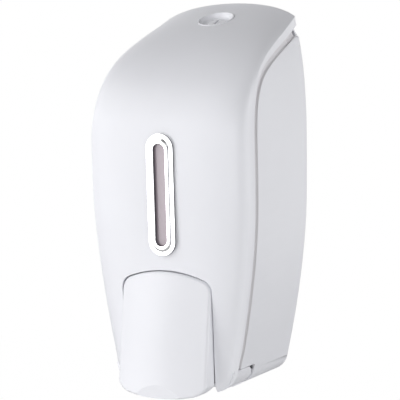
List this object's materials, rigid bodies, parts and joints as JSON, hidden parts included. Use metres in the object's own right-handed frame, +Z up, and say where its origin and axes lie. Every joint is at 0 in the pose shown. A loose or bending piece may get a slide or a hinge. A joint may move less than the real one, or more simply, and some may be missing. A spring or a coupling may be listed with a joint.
{
  "type": "wall mounted soap dispenser",
  "caption": "Wall mounted push-bar soap dispenser: curved white housing and tip-forward locking cover with a level window, over a refillable reservoir and piston pump.",
  "frame": {"origin": "centre of the four wall-screw holes, in the housing's back face", "axes": "+Z up the wall, +Y into the wall, +X across to the right as seen from the front; the cover and push bar face -Y"},
  "size_m": [0.108, 0.1044, 0.243],
  "materials": {
    "shell_white": "moulded white ABS, smooth satin gloss",
    "lock_plastic": "moulded white plastic lock, smooth",
    "chrome_trim": "bright chrome plating over plastic",
    "lens_smoke": "translucent tinted polycarbonate, polished",
    "tank_milky": "milky blow-moulded polyethylene",
    "natural_plastic": "natural polypropylene, fine moulded grain",
    "grey_acetal": "grey acetal, smooth",
    "black_rubber": "black silicone rubber, soft sheen",
    "zinc_steel": "zinc plated steel, satin",
    "spring_steel": "drawn stainless wire and ball, bright"
  },
  "bodies": {
    "housing": {"rear_housing": "shell_white", "hinge_pins": "zinc_steel", "lock_keeper": "zinc_steel", "keeper_screw": "zinc_steel", "pump_bracket": "natural_plastic", "bracket_screws": "zinc_steel", "reservoir": "tank_milky", "outlet_seal": "black_rubber", "pump_body": "natural_plastic", "pump_screws": "zinc_steel", "pump_cap": "natural_plastic", "inlet_seat": "grey_acetal", "outlet_valve": "black_rubber", "nozzle_tip": "natural_plastic", "pump_spring": "spring_steel"},
    "filler_lid": {"reservoir_lid": "natural_plastic", "lid_gasket": "black_rubber"},
    "valve_ball": {"inlet_ball": "spring_steel"},
    "plunger": {"pump_piston": "grey_acetal", "piston_seal": "black_rubber", "plunger_head": "grey_acetal"},
    "cover": {"front_cover": "shell_white", "window_bezel": "chrome_trim", "window_lens": "lens_smoke", "window_retainer": "grey_acetal", "push_bar_axle": "zinc_steel", "lock_cup": "lock_plastic", "lock_nut": "zinc_steel"},
    "push_bar": {"push_bar": "shell_white", "pusher_pad": "black_rubber"},
    "lock": {"lock_barrel": "lock_plastic", "lock_cam": "zinc_steel", "cam_screw": "zinc_steel"}
  },
  "joints": [
    {"name": "cover_hinge", "type": "hinge", "parent": "housing", "child": "cover", "pos_m": [0, -0.06, -0.1335], "axis": [1, 0, 0], "range_deg": [0, 75]},
    {"name": "push_bar_swing", "type": "hinge", "parent": "cover", "child": "push_bar", "pos_m": [0, -0.086, -0.078], "axis": [1, 0, 0], "range_deg": [0, 12], "stiffness_Nm_per_rad": 2.5, "springref_deg": -5.73},
    {"name": "plunger_slide", "type": "slide", "parent": "housing", "child": "plunger", "axis": [0, 1, 0], "range_m": [0, 0.0086], "deforming": ["pump_spring"]},
    {"name": "lock_turn", "type": "hinge", "parent": "cover", "child": "lock", "pos_m": [0, -0.02322, 0.08862], "axis": [0, -0.4111, 0.9116], "range_deg": [0, 90]},
    {"name": "lid_lift", "type": "slide", "parent": "housing", "child": "filler_lid", "axis": [0, 0, 1], "range_m": [0, 0.008]},
    {"name": "ball_rise", "type": "slide", "parent": "housing", "child": "valve_ball", "axis": [0, 0, 1], "range_m": [0, 0.0013]}
  ],
  "couplings": [
    {"joint": "plunger_slide", "follows": "push_bar_swing", "m_per_rad": 0.041}
  ]
}
